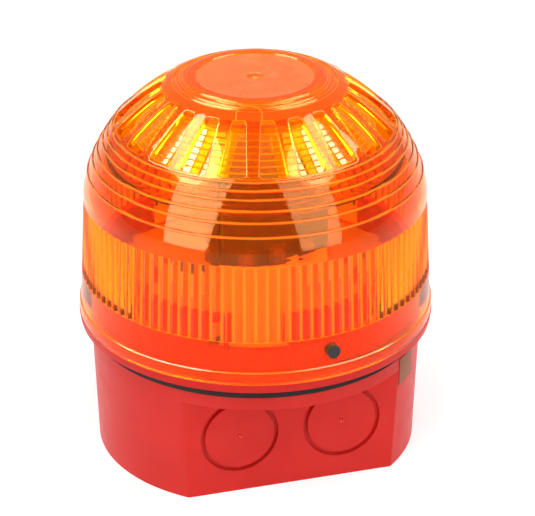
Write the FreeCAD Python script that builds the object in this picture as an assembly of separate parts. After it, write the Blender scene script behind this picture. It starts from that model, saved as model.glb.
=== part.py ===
import FreeCAD, Part
import math
import os

from FreeCAD import Vector

os.makedirs("parts", exist_ok=True)

# Horn strobe: red deep base, twist-lock head with an amber dome, sounder and LED strobe.
# Millimetres. Z is up, z = 0 is the rear face that goes on the wall or ceiling.
# The flat side with the cable entries faces -Y. Angles are about +Z from +X.

# ---------------------------------------------------------------- driving dimensions
BASE_R_FOOT = 42.4
BASE_R_TOP = 43.4
BASE_TOP_Z = 32.1
BASE_WALL = 2.6
BASE_INNER_R = 40.0
FLOOR_T = 3.0
FLAT_Y = 32.3
COLLAR_Z = 28.6
SHELF_Z = 30.8

KNOCKOUT_R = 10.4
KNOCKOUT_GROOVE = 1.2
KNOCKOUT_DEPTH = 1.1
KNOCKOUT_X = 13.75
KNOCKOUT_Z = 16.2

SLOT_X = 25.0
SLOT_Y = 18.0
SLOT_R = 2.4
SLOT_LEN = 8.0

LABEL_ANGLE = -42.4
LABEL_HALF = 5.0
LABEL_Z0 = 24.0
LABEL_Z1 = 31.7

SEAL_R = 43.9
SEAL_Z = 32.2
FLANGE_R = 46.6
FLANGE_Z = 35.2
FLANGE_TOP_Z = 37.4

LEG_ANGLES = (-5.0, 60.0, 120.0, 185.0)
TWIST = 24.0
LUG_HALF = 8.0
LEDGE_HALF = 10.0
LEDGE_Z = 27.0
LEDGE_TOP_Z = 29.6
LEG_R_IN = 35.9
LEG_R_OUT = 37.9
LUG_R = 39.6
LEG_Z = 24.0
SPIGOT_Z = 31.2

DECK_R = 42.0
DECK_Z = 42.6
DECK_TOP_Z = 44.6
WALL_TOP_Z = 54.6
WALL_T = 1.6
WALLS = ((-74.8, 20.2), (-138.6, 23.0), (135.6, 17.8), (11.4, 18.0))
WALL_OPENING = (-119.8, 2.7)
BOSS_ANGLE = -81.4
BOSS_HALF = 12.8

LENS_T = 2.4
FLUTE_Z0 = 48.9
FLUTE_Z1 = 69.2
FLUTE_R0 = 45.65
FLUTE_R1 = 44.65
FLUTE_COUNT = 100
FLUTE_DEPTH = 0.75
RIM_R = 16.6
RIM_Z = 102.0
CAP_R = 14.8
CAP_Z = 101.6
RING_HEIGHTS = (76.5, 79.8, 82.4, 84.8, 86.7, 88.4)
DOME = ((44.3, 73.0), (42.3, 78.8), (39.5, 84.2), (36.3, 88.8), (32.2, 93.0), (27.4, 97.0), (22.8, 99.9))

WINDOW_COUNT = 22
WINDOW_LAND_ANGLE = -107.3
WINDOW_LAND = 3.3
WINDOW_UPPER = (24.2, 99.2)
WINDOW_LOWER = (35.2, 89.9)

LOCK_SCREW_ANGLE = -81.0
LOCK_SCREW_Z = 44.2
LOCK_SCREW_R = 1.75

TUBE_R = 8.6
TUBE_BORE_R = 7.2
TUBE_TOP_Z = 95.4
TUBE_FOOT_R = 10.0

STROBE_ANGLES = (-76.6, 43.4, 163.4)
STROBE_FACE = 10.8
STROBE_HALF = 15.6
STROBE_TOP_Z = 78.0
LED_Z = 55.5

BOARD_R = 28.8
BOARD_Z = 27.0
BOARD_T = 1.6
BOARD_SCREW_R = 25.4
BOARD_SCREW_ANGLES = (90.0, 210.0, 330.0)

WAY_COUNT = 6
WAY_PITCH = 5.0
BLOCK_Y = -20.0
BLOCK_DEPTH = 12.0
BLOCK_TOP_Z = 15.0
TOWER_Y = -11.6
SPRING_TOP_Z = 26.6

SWITCH_X = -4.0
SWITCH_Y = 10.0
SWITCH_WAYS = 5
SWITCH_PITCH = 2.54
SLIDER_TRAVEL = 1.2

TRIMMER_X = 12.5
TRIMMER_Y = 9.0

LINK_Y = 20.8
INDUCTOR_X = -21.5
INDUCTOR_Y = -2.0

Z_AXIS = Vector(0, 0, 1)
ORIGIN = Vector(0, 0, 0)


# ---------------------------------------------------------------- helpers
def disc(radius, z0, z1, x=0.0, y=0.0):
    return Part.makeCylinder(radius, z1 - z0, Vector(x, y, z0), Z_AXIS)


def ring(r_out, r_in, z0, z1):
    return disc(r_out, z0, z1).cut(disc(r_in, z0 - 1.0, z1 + 1.0))


def block(x, y, z0, dx, dy, dz):
    return Part.makeBox(dx, dy, dz, Vector(x - dx / 2.0, y - dy / 2.0, z0))


def turned(shape, angle):
    copy = shape.copy()
    copy.rotate(ORIGIN, Z_AXIS, angle)
    return copy


def polar(radius, angle, z=0.0):
    a = math.radians(angle)
    return Vector(radius * math.cos(a), radius * math.sin(a), z)


def sector(r_in, r_out, z0, z1, mid, half):
    """Part of a ring, centred on the angle mid and reaching half to each side."""
    face = Part.makePolygon(
        [Vector(r_in, 0, z0), Vector(r_out, 0, z0), Vector(r_out, 0, z1), Vector(r_in, 0, z1), Vector(r_in, 0, z0)]
    )
    solid = Part.Face(face).revolve(ORIGIN, Z_AXIS, 2.0 * half)
    return turned(solid, mid - half)


def lathe(points):
    """Solid of revolution of a closed outline of (radius, height) points."""
    outline = [Vector(r, 0, z) for r, z in points]
    wire = Part.makePolygon(outline + [outline[0]])
    return Part.Face(wire).revolve(ORIGIN, Z_AXIS, 360.0)


def radial_pin(radius, r_in, r_out, angle, z):
    return Part.makeCylinder(radius, r_out - r_in, polar(r_in, angle, z), polar(1.0, angle))


def slot(x, y, z0, z1, radius, length):
    """Upright slot, long along X; length is how far the end radii are apart."""
    ends = [disc(radius, z0, z1, x - length / 2.0, y), disc(radius, z0, z1, x + length / 2.0, y)]
    return block(x, y, z0, length, 2.0 * radius, z1 - z0).multiFuse(ends)


def union(shapes):
    return shapes[0].multiFuse(shapes[1:]).removeSplitter()


def save(name, shape):
    solids = shape.Solids
    if not shape.isValid() or not solids:
        raise ValueError("bad shape: " + name)
    shape.exportStep("parts/" + name + ".step")
    print(name, len(solids), round(sum(s.Volume for s in solids), 1))


def save_group(name, shapes):
    save(name, Part.makeCompound(shapes))


# ---------------------------------------------------------------- base
def base_outer():
    wall = Part.makeCone(BASE_R_FOOT, BASE_R_TOP, COLLAR_Z)
    wall = wall.cut(block(0, -FLAT_Y - 20.0, -1.0, 120.0, 40.0, COLLAR_Z + 2.0))
    corners = [e for e in wall.Edges if abs(e.BoundBox.YMax + FLAT_Y) < 0.01 and e.BoundBox.ZLength > 20.0]
    wall = wall.makeFillet(1.2, corners)
    collar = disc(BASE_R_TOP, COLLAR_Z, BASE_TOP_Z)
    return wall.fuse(collar)


def base_cavity():
    lower = disc(BASE_INNER_R, FLOOR_T, SHELF_Z)
    lower = lower.cut(block(0, -FLAT_Y + BASE_WALL - 20.0, 0.0, 120.0, 40.0, SHELF_Z + 1.0))
    return lower.fuse(disc(BASE_INNER_R, SHELF_Z, BASE_TOP_Z + 1.0))


def side_knockout(x):
    """Ring groove and centre dimple in the flat side."""
    face_y = -FLAT_Y
    inward = Vector(0, 1, 0)
    start = Vector(x, face_y - 1.0, KNOCKOUT_Z)
    groove = Part.makeCylinder(KNOCKOUT_R, KNOCKOUT_DEPTH + 1.0, start, inward)
    core = Part.makeCylinder(KNOCKOUT_R - KNOCKOUT_GROOVE, KNOCKOUT_DEPTH + 1.0, start, inward)
    dimple = Part.makeSphere(0.8, Vector(x, face_y - 0.35, KNOCKOUT_Z))
    return groove.cut(core).fuse(dimple)


def bayonet_ledge(angle):
    wall_r = BASE_INNER_R + 0.6
    inner = LEG_R_OUT + 0.3
    ledge = sector(inner, wall_r, LEDGE_Z, LEDGE_TOP_Z, angle, LEDGE_HALF)
    lock_stop = sector(inner, wall_r, LEG_Z - 0.6, LEDGE_TOP_Z, angle - LUG_HALF - 2.0, 1.4)
    open_stop = sector(inner, wall_r, LEG_Z - 0.6, LEDGE_TOP_Z, angle + TWIST + LUG_HALF + 2.0, 1.4)
    return [ledge, lock_stop, open_stop]


def rear_base():
    shell = base_outer().cut(base_cavity())
    ledges = []
    for angle in LEG_ANGLES:
        ledges += bayonet_ledge(angle)
    shell = shell.multiFuse(ledges)
    cuts = [side_knockout(-KNOCKOUT_X), side_knockout(KNOCKOUT_X)]
    for x in (-SLOT_X, SLOT_X):
        for y in (-SLOT_Y, SLOT_Y):
            cuts.append(slot(x, y, -1.0, FLOOR_T + 1.0, SLOT_R, SLOT_LEN))
    rear_entry = ring(KNOCKOUT_R, KNOCKOUT_R - KNOCKOUT_GROOVE, -1.0, KNOCKOUT_DEPTH)
    rear_entry.translate(Vector(0, 12.0, 0))
    cuts.append(rear_entry)
    shell = shell.cut(Part.makeCompound(cuts))
    return shell.removeSplitter()


def way_positions():
    first = -WAY_PITCH * (WAY_COUNT - 1) / 2.0
    return [first + WAY_PITCH * i for i in range(WAY_COUNT)]


def terminal_block():
    width = WAY_PITCH * WAY_COUNT + 2.0
    body = block(0, BLOCK_Y, FLOOR_T, width, BLOCK_DEPTH, BLOCK_TOP_Z - FLOOR_T)
    tower = block(0, TOWER_Y, FLOOR_T, width, 5.0, 18.0)
    body = body.fuse(tower).removeSplitter()
    cuts = []
    for x in way_positions():
        cuts.append(block(x, BLOCK_Y - 1.0, 5.0, 4.0, 6.0, 6.0))
        cuts.append(block(x, BLOCK_Y - 6.0, 6.4, 3.4, 8.0, 3.4))
        cuts.append(disc(1.9, 10.0, BLOCK_TOP_Z + 1.0, x, BLOCK_Y - 1.0))
        cuts.append(block(x, TOWER_Y, 14.0, 3.3, 0.7, 10.0))
    return body.cut(Part.makeCompound(cuts))


def terminal_clamp(x):
    cage = block(x, BLOCK_Y - 1.0, 5.1, 3.8, 4.6, 5.4)
    return cage.cut(block(x, BLOCK_Y - 1.0, 6.0, 2.6, 6.0, 3.4)).cut(disc(1.05, 8.0, 12.0, x, BLOCK_Y - 1.0))


def terminal_screw(x):
    y = BLOCK_Y - 1.0
    head = disc(1.75, 12.6, 14.6, x, y)
    shank = disc(1.0, 8.6, 12.6, x, y)
    return head.fuse(shank).cut(block(x, y, 13.9, 4.0, 0.5, 1.0)).removeSplitter()


def contact_spring(x):
    """Blade that stands in the tower, leans over and is rolled down at its tip."""
    y = TOWER_Y
    outline = [
        (y - 0.2, 14.2), (y + 0.2, 14.2), (y + 0.2, 23.0), (y - 2.4, SPRING_TOP_Z),
        (y - 3.4, SPRING_TOP_Z), (y - 4.6, 25.2), (y - 4.2, 24.9), (y - 3.2, 26.1),
        (y - 2.6, 26.1), (y - 0.2, 22.8),
    ]
    points = [Vector(x - 1.5, py, pz) for py, pz in outline]
    face = Part.Face(Part.makePolygon(points + [points[0]]))
    return face.extrude(Vector(3.0, 0, 0))


def wall_radius(z):
    """Outer radius of the base at height z."""
    share = min(z / COLLAR_Z, 1.0)
    return BASE_R_FOOT + share * (BASE_R_TOP - BASE_R_FOOT)


def blank_label():
    """Thin sticker that follows the wall and the collar."""
    heights = (LABEL_Z0, COLLAR_Z, LABEL_Z1)
    inner = [Vector(wall_radius(z) + 0.02, 0, z) for z in heights]
    outer = [Vector(wall_radius(z) + 0.22, 0, z) for z in reversed(heights)]
    face = Part.Face(Part.makePolygon(inner + outer + [inner[0]]))
    label = face.revolve(ORIGIN, Z_AXIS, 2.0 * LABEL_HALF)
    return turned(label, LABEL_ANGLE - LABEL_HALF)


# ---------------------------------------------------------------- head: chassis and seals
def head_chassis():
    flange = lathe(((LUG_R - 2.0, FLANGE_Z), (FLANGE_R - 0.3, FLANGE_Z), (FLANGE_R, FLANGE_TOP_Z),
                    (LUG_R - 2.0, FLANGE_TOP_Z)))
    spigot = ring(LUG_R, LUG_R - 2.0, SPIGOT_Z, FLANGE_Z + 1.0)
    drum = ring(DECK_R, DECK_R - 2.2, FLANGE_TOP_Z - 0.5, DECK_TOP_Z)
    deck = ring(DECK_R - 1.0, TUBE_BORE_R, DECK_Z, DECK_TOP_Z)
    parts = [flange, spigot, drum, deck]
    for angle in LEG_ANGLES:
        parts.append(sector(LEG_R_IN, LEG_R_OUT, LEG_Z, FLANGE_Z + 1.0, angle, LUG_HALF))
        parts.append(sector(LEG_R_OUT - 0.4, LUG_R, LEG_Z, LEG_Z + 2.6, angle, LUG_HALF))
    for middle, half in WALLS:
        parts.append(sector(DECK_R - WALL_T, DECK_R, DECK_TOP_Z - 0.5, WALL_TOP_Z, middle, half))
        parts.append(sector(DECK_R - WALL_T, DECK_R + 0.4, WALL_TOP_Z - 1.8, WALL_TOP_Z, middle, half))
    parts.append(sector(DECK_R - 2.0, DECK_R + 0.8, FLANGE_TOP_Z + 2.0, DECK_TOP_Z + 1.4, BOSS_ANGLE, BOSS_HALF))
    for angle in BOARD_SCREW_ANGLES:
        at = polar(BOARD_SCREW_R, angle)
        parts.append(disc(2.8, BOARD_Z + BOARD_T, DECK_Z + 0.5, at.x, at.y))
    body = union(parts)
    cuts = [radial_pin(1.25, DECK_R - 5.0, DECK_R + 2.0, LOCK_SCREW_ANGLE, LOCK_SCREW_Z)]
    cuts.append(sector(DECK_R - 4.0, DECK_R + 2.0, DECK_TOP_Z + 0.8, WALL_TOP_Z - 1.8, *WALL_OPENING))
    cuts.append(block(0, LINK_Y, DECK_Z - 1.0, 11.0, 3.0, 5.0))
    for angle in BOARD_SCREW_ANGLES:
        at = polar(BOARD_SCREW_R, angle)
        cuts.append(disc(1.15, BOARD_Z, BOARD_Z + BOARD_T + 7.0, at.x, at.y))
    return body.cut(Part.makeCompound(cuts))


def head_seal():
    lip = 0.35
    return lathe(((40.6, SEAL_Z), (SEAL_R - lip, SEAL_Z), (SEAL_R, SEAL_Z + lip), (SEAL_R, FLANGE_Z - lip),
                  (SEAL_R - lip, FLANGE_Z), (40.6, FLANGE_Z)))


def lens_seal():
    return ring(43.6, DECK_R + 0.1, FLANGE_TOP_Z, FLANGE_TOP_Z + 1.5)


# ---------------------------------------------------------------- head: dome
def dome_offset(depth):
    """Dome curve moved inward by depth, square to the curve."""
    moved = []
    rows = ((FLUTE_R1, FLUTE_Z1),) + DOME + ((RIM_R, RIM_Z),)
    for before, here, after in zip(rows, rows[1:], rows[2:]):
        dr = after[0] - before[0]
        dz = after[1] - before[1]
        size = math.hypot(dr, dz)
        moved.append((here[0] - depth * dz / size, here[1] + depth * dr / size))
    return moved


def curve_through(points):
    spline = Part.BSplineCurve()
    spline.interpolate([Vector(r, 0, z) for r, z in points])
    return spline.toShape()


def chain(points):
    vectors = [Vector(r, 0, z) for r, z in points]
    return [Part.makeLine(a, b) for a, b in zip(vectors, vectors[1:])]


def lens_outer():
    foot = ((0.0, FLANGE_TOP_Z), (46.5, FLANGE_TOP_Z), (46.4, 40.6), (46.05, 40.9), (FLUTE_R0, FLUTE_Z0),
            (FLUTE_R1, FLUTE_Z1))
    curve = (foot[-1],) + DOME + ((RIM_R + 0.5, RIM_Z - 0.05),)
    cap = ((RIM_R + 0.5, RIM_Z - 0.05), (RIM_R - 0.6, RIM_Z), (CAP_R, CAP_Z), (0.0, CAP_Z), (0.0, FLANGE_TOP_Z))
    wire = Part.Wire(chain(foot) + [curve_through(curve)] + chain(cap))
    return Part.Face(wire).revolve(ORIGIN, Z_AXIS, 360.0)


def lens_inner():
    top_z = CAP_Z - LENS_T
    low = ((0.0, FLANGE_TOP_Z - 1.0), (44.1, FLANGE_TOP_Z - 1.0), (FLUTE_R0 - LENS_T, FLUTE_Z0),
           (FLUTE_R1 - LENS_T, FLUTE_Z1))
    curve = (low[-1],) + tuple(dome_offset(LENS_T))
    top = (curve[-1], (19.0, top_z), (0.0, top_z), (0.0, FLANGE_TOP_Z - 1.0))
    wire = Part.Wire(chain(low) + [curve_through(curve)] + chain(top))
    return Part.Face(wire).revolve(ORIGIN, Z_AXIS, 360.0)


def flute_wire(radius, z):
    """Zigzag outline of the V grooves."""
    pitch = 360.0 / FLUTE_COUNT
    points = []
    for i in range(FLUTE_COUNT):
        points.append(polar(radius + 0.02, i * pitch, z))
        points.append(polar(radius - FLUTE_DEPTH, (i + 0.5) * pitch, z))
    return Part.makePolygon(points + [points[0]])


def flute_cutter():
    prism = Part.makeLoft([flute_wire(FLUTE_R0, FLUTE_Z0), flute_wire(FLUTE_R1, FLUTE_Z1)], True, True)
    return ring(FLUTE_R0 + 2.0, FLUTE_R1 - 3.0, FLUTE_Z0, FLUTE_Z1).cut(prism)


def window_cutter(angle):
    """Tapered slot with round corners, cut square to the shoulder."""
    (r_up, z_up), (r_low, z_low) = WINDOW_UPPER, WINDOW_LOWER
    pitch = 2.0 * math.pi / WINDOW_COUNT
    half_up = (r_up * pitch - WINDOW_LAND) / 2.0
    half_low = (r_low * pitch - WINDOW_LAND) / 2.0
    along = Vector(r_up - r_low, 0, z_up - z_low)
    along.normalize()
    normal = Vector(along.z, 0, -along.x)
    back = normal * 5.0
    corners = [
        Vector(r_low, -half_low, z_low), Vector(r_low, half_low, z_low),
        Vector(r_up, half_up, z_up), Vector(r_up, -half_up, z_up),
    ]
    start = [c - back for c in corners]
    face = Part.Face(Part.makePolygon(start + [start[0]]))
    cutter = face.extrude(normal * 10.0)
    upright = [e for e in cutter.Edges if abs(e.tangentAt(e.FirstParameter).dot(normal)) > 0.99]
    return turned(cutter.makeFillet(0.9, upright), angle)


def ring_ridge(z):
    """Thin raised line around the dome, at height z."""
    rows = ((FLUTE_R1, FLUTE_Z1),) + DOME
    for low, high in zip(rows, rows[1:]):
        if low[1] <= z <= high[1]:
            share = (z - low[1]) / (high[1] - low[1])
            r = low[0] + share * (high[0] - low[0])
    return Part.makeTorus(r + 0.1, 0.4, Vector(0, 0, z), Z_AXIS)


def lens():
    body = lens_outer()
    body = body.multiFuse([ring_ridge(z) for z in RING_HEIGHTS])
    body = body.cut(lens_inner())
    body = body.cut(flute_cutter())
    pitch = 360.0 / WINDOW_COUNT
    cuts = [window_cutter(WINDOW_LAND_ANGLE + pitch * (i + 0.5)) for i in range(WINDOW_COUNT)]
    cuts.append(radial_pin(2.1, 42.0, 50.0, LOCK_SCREW_ANGLE, LOCK_SCREW_Z))
    for radius in (17.6, 18.7, 19.8):
        cuts.append(Part.makeTorus(radius, 0.3, Vector(0, 0, 101.85 - (radius - 17.6) * 0.3), Z_AXIS))
    body = body.cut(Part.makeCompound(cuts))
    gate = disc(2.35, CAP_Z - 0.5, CAP_Z + 1.0)
    pip = disc(0.8, CAP_Z - 0.7, CAP_Z - 0.05)
    return body.cut(gate).fuse(pip).removeSplitter()


def lens_lock_screw():
    head = radial_pin(LOCK_SCREW_R, 43.2, 46.0, LOCK_SCREW_ANGLE, LOCK_SCREW_Z)
    shank = radial_pin(1.2, 38.8, 43.4, LOCK_SCREW_ANGLE, LOCK_SCREW_Z)
    return union([head, shank])


# ---------------------------------------------------------------- head: sounder
def horn_tube():
    outline = ((TUBE_BORE_R, DECK_TOP_Z), (TUBE_FOOT_R, DECK_TOP_Z), (TUBE_FOOT_R, DECK_TOP_Z + 1.4),
               (TUBE_R, DECK_TOP_Z + 1.4), (TUBE_R, TUBE_TOP_Z), (TUBE_BORE_R, TUBE_TOP_Z))
    return lathe(outline)


def sound_deflector():
    steps = 8
    start = (20.5, 95.5)
    end = (31.0, 86.0)
    outline = [(TUBE_R + 0.05, 90.0), (TUBE_R + 0.05, 96.2), start]
    dr = (end[0] - start[0]) / steps
    dz = (end[1] - start[1]) / steps
    for i in range(steps):
        r = start[0] + dr * i
        z = start[1] + dz * i
        outline.append((r + dr, z))
        outline.append((r + dr, z + dz))
    outline += [(36.6, 81.6), (37.9, 81.2), (37.9, 79.8), (36.2, 79.9), (29.6, 84.4), (19.6, 93.6), (12.0, 94.2),
                (12.0, 90.0)]
    return lathe(outline)


def driver_frame():
    return lathe(((15.4, 34.0), (17.2, 34.0), (17.2, 40.6), (19.0, 40.6), (19.0, DECK_Z), (12.9, DECK_Z),
                  (12.9, 40.8), (15.4, 40.2)))


def driver_diaphragm():
    rim = 12.8
    height = 1.6
    radius = (rim * rim + height * height) / (2.0 * height)
    centre = Vector(0, 0, 40.2 + height - radius)
    outer = Part.makeSphere(radius, centre)
    inner = Part.makeSphere(radius - 0.3, centre)
    band = disc(rim, 40.2, 43.0)
    return outer.cut(inner).common(band)


def driver_yoke():
    return union([disc(14.4, 30.0, 32.0), disc(6.4, 31.5, 37.2)])


def driver_magnet():
    return union([ring(14.4, 8.6, 32.0, 35.4), ring(15.35, 7.9, 35.4, 37.4)])


# ---------------------------------------------------------------- head: strobe and boards
def deck_board():
    board = ring(38.0, TUBE_FOOT_R + 0.1, DECK_TOP_Z, DECK_TOP_Z + BOARD_T)
    return board.cut(block(0, LINK_Y, DECK_TOP_Z - 1.0, 10.4, 2.8, 4.0))


def strobe_board(angle):
    """Upright board beside the horn tube, with cut top corners."""
    z0 = DECK_TOP_Z + BOARD_T
    board = block(STROBE_FACE - BOARD_T / 2.0, 0, z0, BOARD_T, 2.0 * STROBE_HALF, STROBE_TOP_Z - z0)
    top = [e for e in board.Edges if e.BoundBox.YLength < 0.01 and e.BoundBox.ZMin > STROBE_TOP_Z - 0.01]
    return turned(board.makeChamfer(3.0, top), angle)


def led(angle, offset):
    """Square package with a round lens, on the outer face of an upright board."""
    package = block(STROBE_FACE + 0.45, offset, LED_Z - 2.5, 0.9, 5.0, 5.0)
    eye = Part.makeSphere(2.1, Vector(STROBE_FACE + 0.5, offset, LED_Z))
    eye = eye.cut(block(STROBE_FACE - 2.0, offset, LED_Z - 4.0, 4.6, 8.0, 8.0))
    return turned(package.fuse(eye).removeSplitter(), angle)


def main_board():
    board = disc(BOARD_R, BOARD_Z, BOARD_Z + BOARD_T)
    holes = [block(0, -BOARD_R, BOARD_Z - 1.0, 4.0, 3.0, 4.0)]
    for angle in BOARD_SCREW_ANGLES:
        at = polar(BOARD_SCREW_R, angle)
        holes.append(disc(1.3, BOARD_Z - 1.0, BOARD_Z + 3.0, at.x, at.y))
    return board.cut(Part.makeCompound(holes))


def board_screw(angle):
    at = polar(BOARD_SCREW_R, angle)
    head = disc(2.3, BOARD_Z - 1.4, BOARD_Z, at.x, at.y)
    shank = disc(1.1, BOARD_Z - 0.5, BOARD_Z + BOARD_T + 6.5, at.x, at.y)
    cross = block(at.x, at.y, BOARD_Z - 2.0, 2.6, 0.6, 1.3).fuse(block(at.x, at.y, BOARD_Z - 2.0, 0.6, 2.6, 1.3))
    return head.fuse(shank).cut(cross).removeSplitter()


def capacitor(x, y):
    can = disc(3.15, BOARD_Z + BOARD_T, BOARD_Z + BOARD_T + 8.0, x, y)
    groove = Part.makeTorus(3.4, 0.45, Vector(x, y, BOARD_Z + BOARD_T + 1.6), Z_AXIS)
    return can.cut(groove)


def inductor():
    core = block(INDUCTOR_X, INDUCTOR_Y, BOARD_Z + BOARD_T, 6.6, 6.6, 4.2)
    upright = [e for e in core.Edges if e.BoundBox.ZLength > 4.0]
    return core.makeFillet(1.4, upright)


def chip(x, y, dx, dy, height):
    body = block(x, y, BOARD_Z + BOARD_T, dx, dy, height)
    rim = [e for e in body.Edges if e.BoundBox.ZMin > BOARD_Z + BOARD_T + height - 0.01]
    return body.makeChamfer(0.15, rim)


def contact_pad(x):
    return block(x, TOWER_Y - 3.0, BOARD_Z - 0.2, 3.6, 4.4, 0.2)


def switch_positions():
    first = SWITCH_X - SWITCH_PITCH * (SWITCH_WAYS - 1) / 2.0
    return [first + SWITCH_PITCH * i for i in range(SWITCH_WAYS)]


def dip_switch_body():
    body = block(SWITCH_X, SWITCH_Y, BOARD_Z - 3.4, 14.2, 6.2, 3.4)
    cuts = [block(x, SWITCH_Y, BOARD_Z - 4.0, 1.6, 3.2, 2.6) for x in switch_positions()]
    return body.cut(Part.makeCompound(cuts))


def dip_slider(x):
    y = SWITCH_Y - SLIDER_TRAVEL / 2.0
    foot = block(x, y, BOARD_Z - 2.5, 1.3, 1.5, 0.9)
    knob = block(x, y, BOARD_Z - 3.8, 0.9, 1.1, 1.4)
    return union([foot, knob])


def volume_trimmer_body():
    body = block(TRIMMER_X, TRIMMER_Y, BOARD_Z - 3.2, 6.6, 6.6, 3.2)
    return body.cut(disc(2.55, BOARD_Z - 4.0, BOARD_Z - 1.2, TRIMMER_X, TRIMMER_Y))


def volume_trimmer_rotor():
    rotor = disc(2.5, BOARD_Z - 3.6, BOARD_Z - 1.25, TRIMMER_X, TRIMMER_Y)
    rotor = rotor.cut(block(TRIMMER_X, TRIMMER_Y, BOARD_Z - 4.0, 3.6, 0.6, 1.3))
    arrow = block(TRIMMER_X + 1.5, TRIMMER_Y, BOARD_Z - 4.0, 0.7, 1.4, 1.3)
    return rotor.cut(arrow)


def board_link():
    z0 = BOARD_Z + BOARD_T
    z1 = DECK_TOP_Z + BOARD_T + 0.8
    return block(0, LINK_Y, z0, 10.0, 2.4, z1 - z0)


# ---------------------------------------------------------------- write every node
save("rear_base", rear_base())
save("terminal_block", terminal_block())
save_group("terminal_clamps", [terminal_clamp(x) for x in way_positions()])
save_group("terminal_screws", [terminal_screw(x) for x in way_positions()])
save_group("contact_springs", [contact_spring(x) for x in way_positions()])
save("blank_label", blank_label())

save("head_chassis", head_chassis())
save("head_seal", head_seal())
save("lens", lens())
save("lens_seal", lens_seal())
save("lens_lock_screw", lens_lock_screw())
save("horn_tube", horn_tube())
save("sound_deflector", sound_deflector())
save("driver_frame", driver_frame())
save("driver_diaphragm", driver_diaphragm())
save("voice_coil", ring(7.7, 6.9, 35.6, 40.6))
save("driver_yoke", driver_yoke())
save("driver_magnet", driver_magnet())

save("deck_board", deck_board())
save_group("strobe_boards", [strobe_board(angle) for angle in STROBE_ANGLES])
save_group("leds", [led(angle, offset) for angle in STROBE_ANGLES for offset in (-9.0, 0.0, 9.0)])
save("main_board", main_board())
save_group("board_screws", [board_screw(angle) for angle in BOARD_SCREW_ANGLES])
save_group("capacitors", [capacitor(20.5, 9.0), capacitor(22.0, 1.0)])
save("inductor", inductor())
save("controller_chip", chip(-20.0, 8.0, 6.0, 6.0, 0.9))
save("driver_chip", chip(12.0, -20.0, 5.0, 4.0, 1.4))
save_group("contact_pads", [contact_pad(x) for x in way_positions()])
save("board_link", board_link())
save("dip_switch_body", dip_switch_body())
for number, position in enumerate(switch_positions(), start=1):
    save("dip_slider_" + str(number), dip_slider(position))
save("volume_trimmer_body", volume_trimmer_body())
save("volume_trimmer_rotor", volume_trimmer_rotor())
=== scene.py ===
import math

import bmesh
import bpy
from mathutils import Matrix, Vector


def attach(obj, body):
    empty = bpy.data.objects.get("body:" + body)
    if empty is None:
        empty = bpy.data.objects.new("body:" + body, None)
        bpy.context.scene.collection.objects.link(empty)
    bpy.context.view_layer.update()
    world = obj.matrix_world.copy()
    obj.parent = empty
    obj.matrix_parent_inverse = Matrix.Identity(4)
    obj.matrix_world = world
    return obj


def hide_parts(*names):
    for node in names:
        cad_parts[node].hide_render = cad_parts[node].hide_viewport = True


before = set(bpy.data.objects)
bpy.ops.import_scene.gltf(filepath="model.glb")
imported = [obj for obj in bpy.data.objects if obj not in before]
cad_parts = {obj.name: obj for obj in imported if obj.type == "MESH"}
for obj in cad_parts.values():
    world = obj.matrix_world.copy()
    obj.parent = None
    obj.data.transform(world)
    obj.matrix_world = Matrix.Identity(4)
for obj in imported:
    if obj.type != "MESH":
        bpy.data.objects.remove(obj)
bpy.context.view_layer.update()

MM = 0.001
TAU = 2.0 * math.pi

# ------------------------------------------------------------ dome dimensions, mm and degrees
# Sections are (radius, height) points. Angles are about +Z from +X.
WALL = 1.7
FLUTES = 100
FLUTE_DEPTH = 0.75
FLUTE_Z = (48.9, 69.2)
FLUTE_R = (45.65, 44.65)
# share of a flute's pitch, and how deep the groove is there as a share of FLUTE_DEPTH
FLUTE_SHAPE = ((0.0, 0.05), (0.06, 0.12), (0.36, 0.72), (0.5, 0.95), (0.64, 0.72), (0.94, 0.12))
FOOT = ((46.45, 37.4), (46.5, 37.6), (46.42, 40.45), (46.38, 40.6), (46.08, 40.85), (46.03, 41.0),
        (45.66, 48.8))
INSIDE_FOOT = ((43.25, 48.9), (44.05, 37.7), (44.1, 37.5), (44.2, 37.4))
DOME = ((44.65, 69.2), (44.3, 73.0), (42.3, 78.8), (39.5, 84.2), (36.3, 88.8), (32.2, 93.0),
        (27.4, 97.0), (22.8, 99.9), (17.1, 101.94))
CAP_Z = 101.6
RIM = ((16.6, 101.99), (15.9, 101.99), (15.3, 101.92), (14.95, 101.62))
DISC = ((14.7, CAP_Z), (9.0, CAP_Z + 0.03), (2.6, CAP_Z + 0.04))
DIMPLE = ((2.35, CAP_Z), (2.2, 101.2), (1.9, 101.05), (1.0, 101.0), (0.75, 101.05), (0.45, 101.45),
          (0.2, 101.5))
UNDER_DISC = (0.5, 14.6, 18.6)
RINGS = (76.5, 79.8, 82.4, 84.8, 86.7, 88.4)
RING_SHAPE = ((0.4, 0.0), (0.22, 0.2), (0.12, 0.3))  # distance from a ring's middle, its height there
GROOVES_R = (17.6, 21.2)
GROOVE_PITCH = 0.9
GROOVE_DEPTH = 0.26
WINDOWS = 22
LAND_ANGLE = -107.3
LAND = 3.3
WINDOW_Z = (89.2, 99.3)
CORNER = 0.9
MARGIN = 0.6  # from a window's end to the edge of its patch
ACROSS = 14  # mesh divisions across and along a window's patch
ALONG = 12
SHOULDER_ROWS = 26
INSIDE_ROWS = 24
# The second slot is a painted highlight, a milky lighter amber on edges, ridges and crests; the fifth is a
# painted glow, a yellower lighter amber over the window band.
CLEAR, EDGE_HIGHLIGHT, FROST, MILKY, PAINTED_GLOW = range(5)  # the dome's material slots


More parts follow.
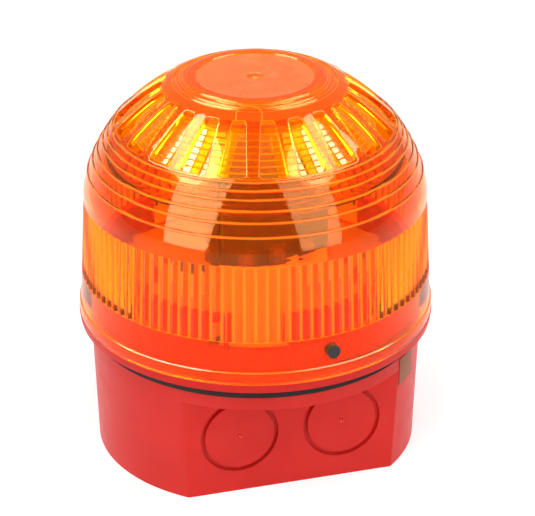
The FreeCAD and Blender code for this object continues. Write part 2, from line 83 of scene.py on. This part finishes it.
# ------------------------------------------------------------ mesh helpers
class Shell:
    """Collects rings of points, in mm, and the faces between them with their material slots."""

    def __init__(self):
        self.points = []
        self.faces = []
        self.tags = []

    def add(self, points):
        start = len(self.points)
        self.points += [Vector(p) * MM for p in points]
        return list(range(start, len(self.points)))

    def face(self, corners, tag=0):
        self.faces.append(corners)
        self.tags.append(tag)

    def bridge(self, a, b, tag=0):
        n = len(a)
        for i in range(n):
            j = (i + 1) % n
            self.face((a[i], a[j], b[j], b[i]), tag)

    def zipper(self, a, angles_a, b, angles_b):
        """Triangles between two closed rings with different point counts, both once round from angle 0."""
        i = j = 0
        na, nb = len(a), len(b)
        while i < na or j < nb:
            next_a = angles_a[i + 1] if i + 1 < na else angles_a[0] + TAU if i < na else 99.0
            next_b = angles_b[j + 1] if j + 1 < nb else angles_b[0] + TAU if j < nb else 99.0
            if next_a <= next_b:
                self.face((a[i % na], a[(i + 1) % na], b[j % nb]))
                i += 1
            else:
                self.face((a[i % na], b[(j + 1) % nb], b[j % nb]))
                j += 1

    def cap(self, ring, tag=0):
        self.face(tuple(ring), tag)

    def build(self, name, sharp=32.0):
        mesh = bpy.data.meshes.new(name)
        mesh.from_pydata(self.points, [], self.faces)
        mesh.polygons.foreach_set("material_index", self.tags)
        bm = bmesh.new()
        bm.from_mesh(mesh)
        bmesh.ops.remove_doubles(bm, verts=bm.verts, dist=1e-7)
        bmesh.ops.recalc_face_normals(bm, faces=bm.faces)
        bm.to_mesh(mesh)
        bm.free()
        mesh.shade_smooth()
        mesh.set_sharp_from_angle(angle=math.radians(sharp))
        obj = bpy.data.objects.new(name, mesh)
        bpy.context.scene.collection.objects.link(obj)
        return obj


def spin(radius, angle, z):
    return (radius * math.cos(angle), radius * math.sin(angle), z)


def lathe(name, outline, columns, sharp, tags):
    """Closed ring solid from an outline of (radius, height) points; tags gives some spans another slot."""
    shell = Shell()
    angles = [TAU * i / columns for i in range(columns)]
    rings = [shell.add([spin(r, a, z) for a in angles]) for r, z in outline]
    for k, (low, high) in enumerate(zip(rings, rings[1:] + rings[:1])):
        shell.bridge(low, high, tags.get(k, CLEAR))
    return shell.build(name, sharp)


# ------------------------------------------------------------ dome curve
def catmull(points, steps):
    """Smooth curve through points, steps per span."""
    ends = [tuple(2 * a - b for a, b in zip(points[0], points[1]))] + list(points)
    ends.append(tuple(2 * a - b for a, b in zip(points[-1], points[-2])))
    out = []
    for k in range(1, len(ends) - 2):
        p0, p1, p2, p3 = ends[k - 1:k + 3]
        for i in range(steps):
            t = i / steps
            out.append(tuple(
                0.5 * (2 * b + (c - a) * t + (2 * a - 5 * b + 4 * c - d) * t * t
                       + (3 * b - a - 3 * c + d) * t ** 3)
                for a, b, c, d in zip(p0, p1, p2, p3)))
    out.append(tuple(points[-1]))
    return out


class Curve:
    """The dome's section, by arc length from the top of the flutes."""

    def __init__(self, points):
        self.points = catmull(points, 24)
        self.lengths = [0.0]
        for a, b in zip(self.points, self.points[1:]):
            self.lengths.append(self.lengths[-1] + math.dist(a, b))
        self.total = self.lengths[-1]

    def at(self, s):
        """Radius, height and outward normal at arc length s."""
        k = 0
        while k < len(self.lengths) - 2 and self.lengths[k + 1] < s:
            k += 1
        (r0, z0), (r1, z1) = self.points[k], self.points[k + 1]
        share = (s - self.lengths[k]) / (self.lengths[k + 1] - self.lengths[k])
        lo = self.points[max(k - 2, 0)]
        hi = self.points[min(k + 3, len(self.points) - 1)]
        dr, dz = hi[0] - lo[0], hi[1] - lo[1]
        size = math.hypot(dr, dz)
        return r0 + share * (r1 - r0), z0 + share * (z1 - z0), dz / size, -dr / size

    def offset(self, s, depth):
        """Radius and height of the point that lies depth under the surface at arc length s."""
        r, z, nr, nz = self.at(s)
        return r - depth * nr, z - depth * nz

    def where(self, z):
        """Arc length at height z."""
        for k, ((_, z0), (_, z1)) in enumerate(zip(self.points, self.points[1:])):
            if z0 <= z <= z1:
                return self.lengths[k] + (z - z0) / (z1 - z0) * (self.lengths[k + 1] - self.lengths[k])
        return self.total


curve = Curve(DOME)


def window_loop(grow, s_low, s_up):
    """Round-cornered slot outline, widened by grow, as (across, arc length) points.

    It runs anticlockwise from the lower left corner."""
    def half(s):
        return curve.at(s)[0] * math.pi / WINDOWS - LAND / 2.0 + grow

    lo, hi, rho = s_low - grow, s_up + grow, CORNER + grow
    wl, wh = half(lo), half(hi)
    loop = []

    def arc(cx, cs, first, last, count):
        for i in range(count):
            a = math.radians(first + (last - first) * i / count)
            loop.append((cx + rho * math.cos(a), cs + rho * math.sin(a)))

    def line(p, q, count):
        for i in range(count):
            t = i / count
            loop.append((p[0] + (q[0] - p[0]) * t, p[1] + (q[1] - p[1]) * t))

    arc(-wl + rho, lo + rho, 225, 270, 2)
    line((-wl + rho, lo), (wl - rho, lo), ACROSS - 4)
    arc(wl - rho, lo + rho, 270, 315, 2)
    arc(wl - rho, lo + rho, 315, 360, 2)
    line((wl, lo + rho), (wh, hi - rho), ALONG - 4)
    arc(wh - rho, hi - rho, 0, 45, 2)
    arc(wh - rho, hi - rho, 45, 90, 2)
    line((wh - rho, hi), (-wh + rho, hi), ACROSS - 4)
    arc(-wh + rho, hi - rho, 90, 135, 2)
    arc(-wh + rho, hi - rho, 135, 180, 2)
    line((-wh, hi - rho), (-wl, lo + rho), ALONG - 4)
    arc(-wl + rho, lo + rho, 180, 225, 2)
    return loop


def make_dome():
    """The whole dome: foot, flutes, ringed dome with open windows, shoulder, top disc and the inside."""
    shell = Shell()
    sector = TAU / WINDOWS
    start = math.radians(LAND_ANGLE) % sector
    fine = [TAU * (flute + place) / FLUTES for flute in range(FLUTES) for place, _ in FLUTE_SHAPE]
    coarse = [start + sector * k + sector * i / ACROSS for k in range(WINDOWS) for i in range(ACROSS)]

    def circle(r, z, angles):
        return shell.add([spin(r, a, z) for a in angles])

    def flute_ring(r, z):
        return shell.add([spin(r - FLUTE_DEPTH * FLUTE_SHAPE[i % len(FLUTE_SHAPE)][1], angle, z)
                          for i, angle in enumerate(fine)])

    # outside, from the foot up to the top of the flutes
    rings = [circle(r, z, fine) for r, z in FOOT]
    rings.append(circle(FLUTE_R[0], FLUTE_Z[0] - 0.02, fine))
    rings.append(flute_ring(FLUTE_R[0], FLUTE_Z[0]))
    rings.append(flute_ring(FLUTE_R[1], FLUTE_Z[1]))
    rings.append(circle(FLUTE_R[1], FLUTE_Z[1] + 0.02, fine))
    # Painted highlight: the foot, the step, both ends of the flutes and the bottom of each flute's groove
    # get the milky edge amber, so they show as bright lines.
    highlight_spans = (0, 3, len(FOOT), len(FOOT) + 2)  # foot, step, and both ends of the flutes
    for k, (low, high) in enumerate(zip(rings, rings[1:])):
        shell.bridge(low, high, EDGE_HIGHLIGHT if k in highlight_spans else CLEAR)
    flute_faces = (len(FOOT) + 1) * len(fine)
    for k in range(len(fine)):
        shell.tags[flute_faces + k] = EDGE_HIGHLIGHT if k % len(FLUTE_SHAPE) in (2, 3) else CLEAR

    # dome rows, with a small ridge at each ring height; the ridge tops get a painted highlight
    s_low, s_up = curve.where(WINDOW_Z[0]), curve.where(WINDOW_Z[1])
    edge_low, edge_up = s_low - MARGIN, s_up + MARGIN
    rows = {0.5 + i * (edge_low - 0.5) / 40: 0.0 for i in range(41)}
    for z in RINGS:
        s = curve.where(z)
        rows = {k: v for k, v in rows.items() if abs(k - s) > 0.5}
        rows.update({s + side * away: lift for away, lift in RING_SHAPE for side in (-1, 1)})
    rows = sorted((k, v) for k, v in rows.items() if k <= edge_low)
    if rows[-1][0] < edge_low:
        rows.append((edge_low, 0.0))
    outer = []
    for s, lift in rows:
        r, z = curve.offset(s, -lift)
        outer.append(circle(r, z, coarse))
    shell.zipper(rings[-1], fine, outer[0], coarse)
    for k, (low, high) in enumerate(zip(outer, outer[1:])):
        shell.bridge(low, high, EDGE_HIGHLIGHT if rows[k][1] + rows[k + 1][1] > 0.45 else CLEAR)

    def patch(depth_loops):
        """Sector patches from loops of (grow, or None for the sector's edge; depth; slot before it)."""
        for k in range(WINDOWS):
            centre = start + sector * (k + 0.5)
            loops = []
            for grow, depth, tag in depth_loops:
                points = []
                if grow is None:
                    tall = edge_up - edge_low
                    flat = [(-0.5 + i / ACROSS, edge_low) for i in range(ACROSS)]
                    flat += [(0.5, edge_low + tall * i / ALONG) for i in range(ALONG)]
                    flat += [(0.5 - i / ACROSS, edge_up) for i in range(ACROSS)]
                    flat += [(-0.5, edge_up - tall * i / ALONG) for i in range(ALONG)]
                    for t, s in flat:
                        r, z = curve.offset(s, depth)
                        points.append(spin(r, centre + t * sector, z))
                else:
                    for x, s in window_loop(grow, s_low, s_up):
                        r, z = curve.offset(s, depth)
                        points.append(spin(r, centre + x / curve.at(s)[0], z))
                loops.append(shell.add(points))
            for before, after, (_, _, tag) in zip(loops, loops[1:], depth_loops[1:]):
                shell.bridge(before, after, tag)

    # Painted glow and painted highlight: the lands and the band round the windows get a yellower, lighter
    # amber, and each window's rim gets the milky edge amber.
    patch(((None, 0.0, PAINTED_GLOW), (0.45, 0.0, PAINTED_GLOW), (0.16, 0.0, PAINTED_GLOW), (0.05, 0.03, EDGE_HIGHLIGHT), (0.0, 0.1, EDGE_HIGHLIGHT),
           (0.0, WALL - 0.15, CLEAR), (0.1, WALL, CLEAR), (0.45, WALL, PAINTED_GLOW), (None, WALL, PAINTED_GLOW)))

    # above the windows: shoulder, grooves, rim and cap
    top = []
    crests = []
    for i in range(SHOULDER_ROWS + 1):
        s = edge_up + (curve.total - edge_up) * i / SHOULDER_ROWS
        r = curve.at(s)[0]
        groove = 0.0
        if GROOVES_R[0] < r < GROOVES_R[1]:
            groove = GROOVE_DEPTH * (0.5 - 0.5 * math.cos((r - GROOVES_R[0]) / GROOVE_PITCH * TAU))
        if GROOVES_R[0] + 0.6 < r < GROOVES_R[1] + 0.2 and groove < 0.05:
            crests.append(i)
        top.append(circle(*curve.offset(s, groove), coarse))
    top += [circle(r, z, coarse) for r, z in RIM + DISC + DIMPLE]
    frosted = range(SHOULDER_ROWS + 4, SHOULDER_ROWS + 9)  # the disc and the dimple's shoulder
    # Painted highlight: the groove crests and the pip in the dimple get the milky edge amber.
    for k, (low, high) in enumerate(zip(top, top[1:])):
        tag = MILKY
        if k in frosted:
            tag = FROST
        elif k in crests or k > SHOULDER_ROWS + 11:
            tag = EDGE_HIGHLIGHT
        elif k >= frosted.stop:
            tag = CLEAR
        shell.bridge(low, high, tag)
    shell.cap(top[-1], EDGE_HIGHLIGHT)

    # inside, from the cap down to the foot
    under = [circle(r, CAP_Z - WALL, coarse) for r in UNDER_DISC]
    shell.cap(under[0], FROST)
    s_cap = curve.where(CAP_Z)
    for i in range(7):
        r, z = curve.offset(s_cap + (edge_up - s_cap) * i / 6, WALL)
        if r > UNDER_DISC[-1] + 0.6:
            under.append(circle(r, z, coarse))
    for k, (low, high) in enumerate(zip(under, under[1:])):
        shell.bridge(low, high, FROST if k < 1 else MILKY)
    inside = [curve.offset(edge_low * (1 - i / INSIDE_ROWS), WALL) for i in range(INSIDE_ROWS + 1)]
    inner = [circle(r, z, coarse) for r, z in inside + list(INSIDE_FOOT)]
    for low, high in zip(inner, inner[1:]):
        shell.bridge(low, high)
    shell.zipper(inner[-1], coarse, rings[0], fine)
    return shell.build("amber_dome", sharp=30.0)


# ------------------------------------------------------------ materials
def material(name):
    mat = bpy.data.materials.new(name)
    mat.use_nodes = True
    nodes, links = mat.node_tree.nodes, mat.node_tree.links
    return mat, nodes, links, nodes["Principled BSDF"]


def noise(nodes, links, scale, detail=4.0, rough=0.5):
    coords = nodes.new("ShaderNodeTexCoord")
    tex = nodes.new("ShaderNodeTexNoise")
    tex.inputs["Scale"].default_value = scale
    tex.inputs["Detail"].default_value = detail
    tex.inputs["Roughness"].default_value = rough
    links.new(coords.outputs["Object"], tex.inputs["Vector"])
    return tex.outputs["Fac"]


def ramp(nodes, links, source, stops):
    node = nodes.new("ShaderNodeValToRGB")
    elements = node.color_ramp.elements
    while len(elements) < len(stops):
        elements.new(0.5)
    for element, (at, colour) in zip(elements, stops):
        element.position = at
        element.color = (*colour, 1.0)
    links.new(source, node.inputs["Fac"])
    return node.outputs["Color"]


def spread_value(nodes, links, source, low, high):
    node = nodes.new("ShaderNodeMapRange")
    node.inputs["From Min"].default_value = 0.3
    node.inputs["From Max"].default_value = 0.7
    node.inputs["To Min"].default_value = low
    node.inputs["To Max"].default_value = high
    links.new(source, node.inputs["Value"])
    return node.outputs["Result"]


def bump(nodes, links, source, shader, strength, distance):
    node = nodes.new("ShaderNodeBump")
    node.inputs["Strength"].default_value = strength
    node.inputs["Distance"].default_value = distance
    links.new(source, node.inputs["Height"])
    links.new(node.outputs["Normal"], shader.inputs["Normal"])


def plastic(name, colour, rough=0.35, vary=0.12, grain=2600.0, grain_depth=0.00002, specular=0.5,
            metallic=0.0):
    """Moulded or plain surface: slow colour drift, fine grain and uneven gloss."""
    mat, nodes, links, shader = material(name)
    dark = tuple(c * (1.0 - vary) for c in colour)
    light = tuple(min(1.0, c * (1.0 + vary)) for c in colour)
    slow = noise(nodes, links, 45.0, 5.0, 0.6)
    links.new(ramp(nodes, links, slow, ((0.35, dark), (0.65, light))), shader.inputs["Base Color"])
    links.new(spread_value(nodes, links, noise(nodes, links, 160.0), rough * 0.85, rough * 1.2),
              shader.inputs["Roughness"])
    bump(nodes, links, noise(nodes, links, grain, 2.0), shader, 0.35, grain_depth)
    shader.inputs["Specular IOR Level"].default_value = specular
    shader.inputs["Metallic"].default_value = metallic
    return mat


FACE_LOSS = 0.88  # share of the lamp light that gets through one face of the amber plastic


def amber(name, colour, rough=0.03, waviness=0.00003, clear_share=1.0, shine=(0.3, 0.3, 0.3), ior=1.5):
    """Clear tinted plastic that lets lamp light through to what is inside.

    What clear_share leaves is milky, and shine tints the gloss."""
    mat, nodes, links, shader = material(name)
    shader.inputs["Base Color"].default_value = (*colour, 1.0)
    shader.inputs["Transmission Weight"].default_value = clear_share
    shader.inputs["IOR"].default_value = ior
    shader.inputs["Specular Tint"].default_value = (*shine, 1.0)
    links.new(spread_value(nodes, links, noise(nodes, links, 220.0), rough * 0.6, rough * 1.6),
              shader.inputs["Roughness"])
    if waviness:
        bump(nodes, links, noise(nodes, links, 90.0, 2.0), shader, 0.25, waviness)
    clear = nodes.new("ShaderNodeBsdfTransparent")
    clear.inputs["Color"].default_value = (*(FACE_LOSS * c ** 0.5 for c in colour), 1.0)
    paths = nodes.new("ShaderNodeLightPath")
    mix = nodes.new("ShaderNodeMixShader")
    links.new(paths.outputs["Is Shadow Ray"], mix.inputs["Fac"])
    links.new(shader.outputs["BSDF"], mix.inputs[1])
    links.new(clear.outputs["BSDF"], mix.inputs[2])
    links.new(mix.outputs["Shader"], nodes["Material Output"].inputs["Surface"])
    return mat


def two_zone(name, low, high, height, rough):
    """A piece with one colour up to a height in metres and another above it; fine mottle in both."""
    mat, nodes, links, shader = material(name)
    coords = nodes.new("ShaderNodeTexCoord")
    split = nodes.new("ShaderNodeSeparateXYZ")
    links.new(coords.outputs["Object"], split.inputs["Vector"])
    above = nodes.new("ShaderNodeMath")
    above.operation = "GREATER_THAN"
    above.inputs[1].default_value = height
    links.new(split.outputs["Z"], above.inputs[0])
    mix = nodes.new("ShaderNodeMix")
    mix.data_type = "RGBA"
    links.new(above.outputs["Value"], mix.inputs[0])
    grain = noise(nodes, links, 300.0)
    for colour, shade, socket in ((low, 0.9, mix.inputs[6]), (high, 0.7, mix.inputs[7])):
        dark = tuple(c * shade for c in colour)
        links.new(ramp(nodes, links, grain, ((0.35, dark), (0.65, colour))), socket)
    links.new(mix.outputs[2], shader.inputs["Base Color"])
    shader.inputs["Roughness"].default_value = rough
    shader.inputs["Specular IOR Level"].default_value = 0.1
    return mat


RED = plastic("red_moulding", (0.60, 0.017, 0.011), 0.36, 0.06, specular=0.15)
AMBER = amber("amber_clear", (0.86, 0.285, 0.002), clear_share=0.97, shine=(0.42, 0.42, 0.22))
# Painted highlight: this milky, lighter amber goes on edges, ridges and crests, so they show as bright
# lines under any lamp.
AMBER_EDGE_HIGHLIGHT = amber("amber_edge_highlight", (0.88, 0.30, 0.006), 0.12, 0.0, 0.4)
AMBER_FROST = amber("amber_frost", (0.86, 0.23, 0.048), 0.35, 0.0, 0.3)
AMBER_MILKY = amber("amber_milky", (0.87, 0.20, 0.006), 0.08, 0.0, 0.76, (0.7, 0.55, 0.15))
# On the dome this yellower, lighter amber over the window band is a painted glow.
AMBER_LIGHT = amber("amber_light", (0.86, 0.43, 0.01), waviness=0.0, shine=(0.5, 0.44, 0.18))
AMBER_INNER = amber("amber_inner", (0.84, 0.44, 0.01), 0.08, 0.0, 0.88, (1.0, 0.9, 0.42), 1.7)
TAN_BOARD = plastic("board_tan", (0.34, 0.25, 0.15), 0.5, 0.25, 500.0, 0.00002, 0.1)
# Painted shade: above 37.6 mm, inside the dome, the chassis is a darker red than its flange below.
CHASSIS_PAINTED_SHADE = two_zone("red_chassis_painted_shade", (0.60, 0.017, 0.011), (0.50, 0.019, 0.010), 0.0376, 0.36)
STROBE_BOARD = two_zone("strobe_board", (0.85, 0.80, 0.70), (0.10, 0.075, 0.04), 0.053, 0.5)
DIFFUSER = plastic("diffuser_white", (0.62, 0.50, 0.36), 0.5, 0.05, specular=0.1)
HORN = plastic("horn_red_brown", (0.16, 0.02, 0.012), 0.4, 0.15)
SILICONE = plastic("seal_silicone", (0.30, 0.05, 0.025), 0.5, 0.12, specular=0.1)
RUBBER = plastic("seal_rubber", (0.016, 0.010, 0.009), 0.62, 0.2, 1800.0, 0.00003, 0.1)
BLACK = plastic("black_moulding", (0.014, 0.014, 0.015), 0.42, 0.2, specular=0.2)
LABEL = plastic("label_film", (0.30, 0.10, 0.05), 0.4, 0.1, specular=0.08)
BRASS = plastic("brass", (0.60, 0.42, 0.16), 0.28, 0.15, 900.0, 0.00002, 0.5, 1.0)
STEEL = plastic("plated_steel", (0.50, 0.50, 0.48), 0.3, 0.12, 900.0, 0.00002, 0.5, 1.0)
BRONZE = plastic("spring_bronze", (0.52, 0.28, 0.12), 0.3, 0.12, 900.0, 0.00002, 0.5, 1.0)
GOLD = plastic("gold_pad", (0.75, 0.50, 0.14), 0.25, 0.1, 900.0, 0.00001, 0.5, 1.0)
BOARD = plastic("board_resist", (0.012, 0.085, 0.03), 0.35, 0.3, 500.0, 0.00002)
LED = plastic("led_resin", (0.14, 0.09, 0.035), 0.2, 0.1, specular=0.2)
MAGNET = plastic("magnet_grey", (0.035, 0.035, 0.037), 0.55, 0.3, 700.0, 0.00004)
COPPER = plastic("coil_copper", (0.50, 0.16, 0.05), 0.35, 0.3, 3000.0, 0.00003, 0.5, 1.0)
FILM = plastic("diaphragm_film", (0.35, 0.24, 0.08), 0.3, 0.15)
ALU = plastic("can_aluminium", (0.62, 0.62, 0.64), 0.3, 0.08, 1200.0, 0.00001, 0.5, 1.0)
WHITE = plastic("white_moulding", (0.72, 0.72, 0.70), 0.45, 0.06)
BLUE = plastic("blue_moulding", (0.015, 0.06, 0.30), 0.45, 0.12)

PAINT = {
    "rear_base": RED, "head_chassis": CHASSIS_PAINTED_SHADE, "head_seal": RUBBER, "lens_seal": SILICONE,
    "lens_lock_screw": BLACK, "blank_label": LABEL, "lens": AMBER, "sound_deflector": AMBER_INNER,
    "horn_tube": HORN, "terminal_block": BLACK, "terminal_clamps": BRASS, "terminal_screws": STEEL,
    "contact_springs": BRONZE, "driver_frame": BLACK, "driver_diaphragm": FILM, "voice_coil": COPPER,
    "driver_yoke": STEEL, "driver_magnet": MAGNET, "deck_board": TAN_BOARD, "strobe_boards": STROBE_BOARD,
    "leds": LED, "main_board": BOARD, "board_screws": STEEL, "capacitors": ALU, "inductor": MAGNET,
    "controller_chip": BLACK, "driver_chip": BLACK, "contact_pads": GOLD, "board_link": BLACK,
    "dip_switch_body": BLUE, "volume_trimmer_body": BLUE, "volume_trimmer_rotor": WHITE,
}
PAINT.update({"dip_slider_" + str(number): WHITE for number in range(1, 6)})


for node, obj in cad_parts.items():
    obj.data.materials.clear()
    obj.data.materials.append(PAINT[node])

# ------------------------------------------------------------ the dome's arch, the deflector, the plate
BOSS_ANGLE = -110.2
BOSS_FOOT_Z = 99.2
BOSS_TALL = 5.4
BOSS_HALF = 3.2
BOSS_WIDTH = 0.45
BOSS_SECTION = ((0.5, 0.05), (0.3, -0.22), (-0.3, -0.22), (-0.5, 0.05))  # share of the width, depth

STEPS = 8
STEP_TOP, STEP_FOOT = (20.5, 95.5), (31.0, 86.0)
BEAD = ((0.0, 0.3), (0.74, 0.3), (0.79, 0.52), (0.85, 0.62), (0.91, 0.52), (0.96, 0.3))  # share, out
MOUTH = ((8.65, 90.0), (8.65, 96.1), (9.0, 96.3), (20.2, 95.6))
SKIRT = ((31.0, 86.0), (36.6, 81.7), (37.7, 81.3), (37.9, 81.0), (37.9, 79.95), (37.7, 79.8),
         (36.2, 79.9), (29.6, 84.4))
UNDERSIDE = ((19.6, 93.6), (12.0, 94.2), (12.0, 90.0))
SKIRT_FINISH = 2  # the deflector's third material slot

PLATE_R = (38.0, 39.2)
PLATE_Z = (44.65, 66.4)
PLATE_ANGLE = -106.0
PLATE_HALF = 13.6
PLATE_COLUMNS = 24


def strip(shell, loops):
    """Closes a row of equal loops into one solid, with both ends capped."""
    for before, after in zip(loops, loops[1:]):
        shell.bridge(before, after)
    shell.cap(loops[0])
    shell.cap(loops[-1])


def arch_boss():
    """Low arch-shaped ridge moulded on the shoulder at the front, standing on the dome's outer face."""
    shell = Shell()
    centre, foot = math.radians(BOSS_ANGLE), curve.where(BOSS_FOOT_Z)
    path = [(-BOSS_HALF, 0.0)]
    for i in range(13):
        turn = math.pi * (1.0 - i / 12)
        path.append((BOSS_HALF * math.cos(turn), BOSS_TALL - BOSS_HALF + BOSS_HALF * math.sin(turn)))
    path.append((BOSS_HALF, 0.0))
    loops = []
    for i, (x, s) in enumerate(path):
        (x0, s0), (x1, s1) = path[max(i - 1, 0)], path[min(i + 1, len(path) - 1)]
        size = math.hypot(x1 - x0, s1 - s0)
        across, along = -(s1 - s0) / size, (x1 - x0) / size
        section = []
        for shift, depth in BOSS_SECTION:
            r, z = curve.offset(foot + s + along * shift * BOSS_WIDTH, depth)
            section.append(spin(r, centre + (x + across * shift * BOSS_WIDTH) / r, z))
        loops.append(shell.add(section))
    strip(shell, loops)
    return shell.build("shoulder_boss")


def step_outline():
    """The deflector's slope, with a raised bead at every step, as (radius, height) points going down."""
    dr = (STEP_FOOT[0] - STEP_TOP[0]) / STEPS
    dz = (STEP_FOOT[1] - STEP_TOP[1]) / STEPS
    size = math.hypot(dr, dz)
    return tuple((STEP_TOP[0] + dr * (i + u) - dz / size * out,
                  STEP_TOP[1] + dz * (i + u) + dr / size * out)
                 for i in range(STEPS) for u, out in BEAD)


def make_deflector():
    first_skirt = len(MOUTH) + STEPS * len(BEAD)
    # Painted highlight: each raised bead gets the milky edge amber.
    tags = {len(MOUTH) + len(BEAD) * step + k: EDGE_HIGHLIGHT for step in range(STEPS) for k in (1, 2, 3, 4)}
    tags.update({first_skirt + k: SKIRT_FINISH for k in range(len(SKIRT) + 1)})
    return lathe("stepped_deflector", MOUTH + step_outline() + SKIRT + UNDERSIDE, 220, 50.0, tags)


def make_diffuser():
    """Curved upright plate about the axis, behind the front flutes."""
    shell = Shell()
    section = ((PLATE_R[0], PLATE_Z[0]), (PLATE_R[1], PLATE_Z[0]), (PLATE_R[1], PLATE_Z[1]),
               (PLATE_R[0], PLATE_Z[1]))
    loops = []
    for i in range(PLATE_COLUMNS + 1):
        angle = math.radians(PLATE_ANGLE - PLATE_HALF + 2.0 * PLATE_HALF * i / PLATE_COLUMNS)
        loops.append(shell.add([spin(r, angle, z) for r, z in section]))
    strip(shell, loops)
    return shell.build("front_diffuser")


def fit_to_head(obj, mats):
    """Gives a new piece its materials and the body it rides."""
    for mat in mats:
        obj.data.materials.append(mat)
    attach(obj, "head")


dome = make_dome()
fit_to_head(dome, (AMBER, AMBER_EDGE_HIGHLIGHT, AMBER_FROST, AMBER_MILKY, AMBER_LIGHT))
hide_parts("lens")
# The boss is drawn all in the milky edge amber, a painted highlight.
fit_to_head(arch_boss(), (AMBER_EDGE_HIGHLIGHT,))
deflector = make_deflector()
fit_to_head(deflector, (AMBER_INNER, AMBER_EDGE_HIGHLIGHT, AMBER_LIGHT))
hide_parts("sound_deflector")
fit_to_head(make_diffuser(), (DIFFUSER,))

# ------------------------------------------------------------ floor
FLOOR_HALF = 3.0
floor_mesh = bpy.data.meshes.new("studio_floor")
corners = [(x * FLOOR_HALF, y * FLOOR_HALF, 0) for x, y in ((-1, -1), (1, -1), (1, 1), (-1, 1))]
floor_mesh.from_pydata(corners, [], [(0, 1, 2, 3)])
floor = bpy.data.objects.new("studio_floor", floor_mesh)
bpy.context.scene.collection.objects.link(floor)
floor_mat, nodes, links, shader = material("studio_paper")
shader.inputs["Base Color"].default_value = (0.93, 0.93, 0.93, 1.0)
shader.inputs["Roughness"].default_value = 0.9
shader.inputs["Specular IOR Level"].default_value = 0.0
shader.inputs["Emission Color"].default_value = (1.0, 1.0, 1.0, 1.0)
shader.inputs["Emission Strength"].default_value = 0.35
floor.data.materials.append(floor_mat)

# ------------------------------------------------------------ camera
AZIMUTH = -16.6
ELEVATION = 26.42
DISTANCE = 0.6579
AIM_HEIGHT = 0.04984
AIM_RIGHT = 0.00316
PICTURE_WIDTH = 535
FOCAL_PIXELS = 2500.0
SENSOR = 36.0


def outward(azimuth, elevation):
    """Unit vector from the object; azimuth 0 is -Y and rises towards +X."""
    a, e = math.radians(azimuth), math.radians(elevation)
    return Vector((math.sin(a) * math.cos(e), -math.cos(a) * math.cos(e), math.sin(e)))


def aim(obj, out):
    """Turns a camera or lamp to look back along out."""
    obj.rotation_mode = "QUATERNION"
    obj.rotation_quaternion = (-out).to_track_quat("-Z", "Y")


back = outward(AZIMUTH, ELEVATION)
right = outward(AZIMUTH + 90.0, 0.0)
camera_data = bpy.data.cameras.new("camera")
camera_data.sensor_width = SENSOR
camera_data.lens = SENSOR * FOCAL_PIXELS / PICTURE_WIDTH
camera_data.clip_start = 0.01
camera_data.clip_end = 20.0
camera = bpy.data.objects.new("camera", camera_data)
camera.location = Vector((0, 0, AIM_HEIGHT)) + right * AIM_RIGHT + back * DISTANCE
aim(camera, back)
bpy.context.scene.collection.objects.link(camera)
bpy.context.scene.camera = camera

# ------------------------------------------------------------ light
world = bpy.data.worlds.new("studio")
world.use_nodes = True
nodes, links = world.node_tree.nodes, world.node_tree.links
paths = nodes.new("ShaderNodeLightPath")
seen = nodes.new("ShaderNodeMath")
seen.operation = "MAXIMUM"
links.new(paths.outputs["Is Camera Ray"], seen.inputs[0])
links.new(paths.outputs["Is Transmission Ray"], seen.inputs[1])
level = nodes.new("ShaderNodeMapRange")
level.inputs["To Min"].default_value = 0.35
level.inputs["To Max"].default_value = 1.0
links.new(seen.outputs["Value"], level.inputs["Value"])
nodes["Background"].inputs["Color"].default_value = (1.0, 1.0, 1.0, 1.0)
links.new(level.outputs["Result"], nodes["Background"].inputs["Strength"])
bpy.context.scene.world = world
bpy.context.scene.view_settings.view_transform = "Standard"


LAMP_AIM_Z = 0.06
SOFTBOX_DISTANCE = 0.8
KEY_DISTANCE = 1.0
# name, azimuth from the camera (positive to its right), elevation, width, height, radiance
SOFTBOXES = (
    ("softbox_left", -44.0, 30.0, 0.46, 0.94, 12.5),
    ("softbox_right", 42.0, 30.0, 0.42, 0.94, 8.0),
    ("side_left", -80.0, 54.0, 0.68, 0.42, 19.0),
    ("side_right", 80.0, 54.0, 0.68, 0.42, 13.0),
)
KEYS = (
    ("key_left", -40.0, 45.0, 0.8, 0.8, 1.9),
    ("key_right", 50.0, 45.0, 0.8, 0.8, 1.5),
    ("top", 0.0, 85.0, 1.0, 1.0, 1.3),
)
NEST = (1.0, 0.88, 0.76, 0.64)  # each softbox is four lamps, one inside the other, so its edge is soft


def lamp(name, azimuth, elevation, width, height, radiance, distance, gloss_only):
    """Rectangular lamp that faces the object and lights either gloss alone or everything but gloss."""
    out = outward(AZIMUTH + azimuth, elevation)
    data = bpy.data.lights.new(name, "AREA")
    data.shape = "RECTANGLE"
    data.size = width
    data.size_y = height
    data.energy = radiance * math.pi * width * height
    obj = bpy.data.objects.new(name, data)
    obj.location = Vector((0, 0, LAMP_AIM_Z)) + out * distance
    aim(obj, out)
    obj.visible_camera = False
    obj.visible_diffuse = not gloss_only
    obj.visible_glossy = gloss_only
    bpy.context.scene.collection.objects.link(obj)


for number, scale in enumerate(NEST):
    for name, azimuth, elevation, width, height, radiance in SOFTBOXES:
        lamp(name + "_" + str(number), azimuth, elevation, width * scale, height * scale, radiance,
             SOFTBOX_DISTANCE, True)
for key in KEYS:
    lamp(*key, KEY_DISTANCE, False)
